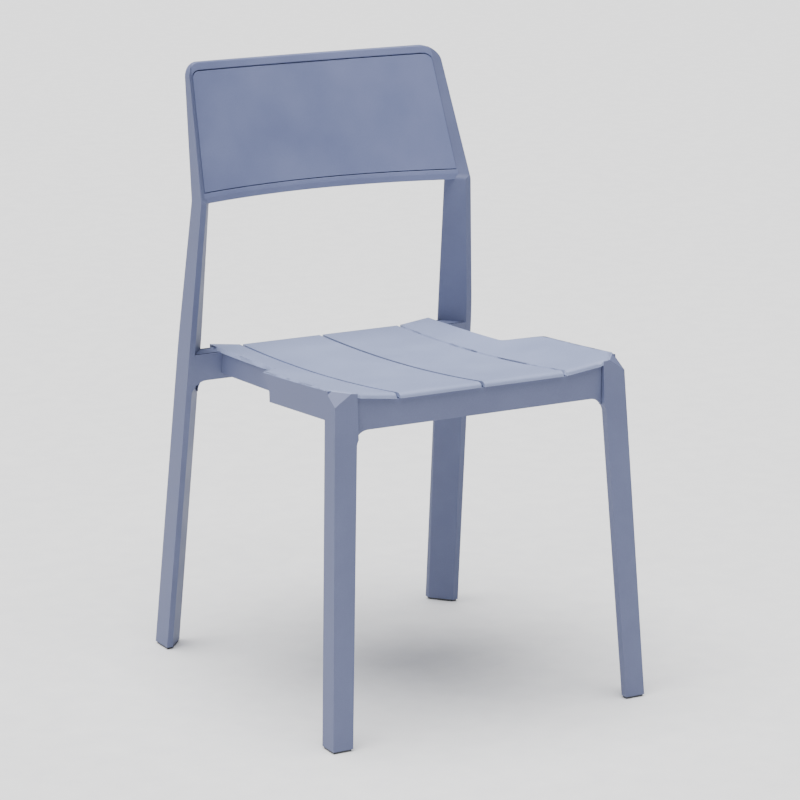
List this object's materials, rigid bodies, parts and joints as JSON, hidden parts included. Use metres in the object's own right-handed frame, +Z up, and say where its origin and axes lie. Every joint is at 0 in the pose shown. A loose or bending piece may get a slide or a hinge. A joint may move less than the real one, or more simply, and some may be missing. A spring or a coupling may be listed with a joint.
{
  "type": "stacking chair",
  "caption": "Armless stacking chair of matt moulded plastic, with a dished slatted seat, a waisted outline and a low curved back.",
  "frame": {"origin": "on the floor, under the middle of the chair's outer box", "axes": "+Z up, +X to the right as one faces the front of the chair, the sitter faces -Y"},
  "size_m": [0.46, 0.517, 0.8],
  "materials": {
    "frame_plastic": "moulded polypropylene, fine matt texture, grey-blue",
    "seat_plastic": "moulded polypropylene, fine matt texture, grey-blue",
    "back_plastic": "moulded polypropylene, fine matt texture, grey-blue",
    "glide": "black moulded nylon",
    "fastener": "bright zinc plate"
  },
  "bodies": {
    "root": {"front_left_leg": "frame_plastic", "front_right_leg": "frame_plastic", "rear_left_leg": "frame_plastic", "rear_right_leg": "frame_plastic", "front_apron": "frame_plastic", "rear_cross_rail": "frame_plastic", "left_side_rail": "frame_plastic", "right_side_rail": "frame_plastic", "left_waist_web": "frame_plastic", "right_waist_web": "frame_plastic", "left_outer_slat": "seat_plastic", "left_inner_slat": "seat_plastic", "right_inner_slat": "seat_plastic", "right_outer_slat": "seat_plastic", "front_seat_rib": "seat_plastic", "middle_seat_rib": "seat_plastic", "rear_seat_rib": "seat_plastic", "back_bottom_rail": "back_plastic", "back_panel": "back_plastic", "back_top_rail": "back_plastic", "front_left_glide": "glide", "front_right_glide": "glide", "rear_left_glide": "glide", "rear_right_glide": "glide", "seat_screws": "fastener", "leg_bolts": "fastener"}
  },
  "joints": []
}
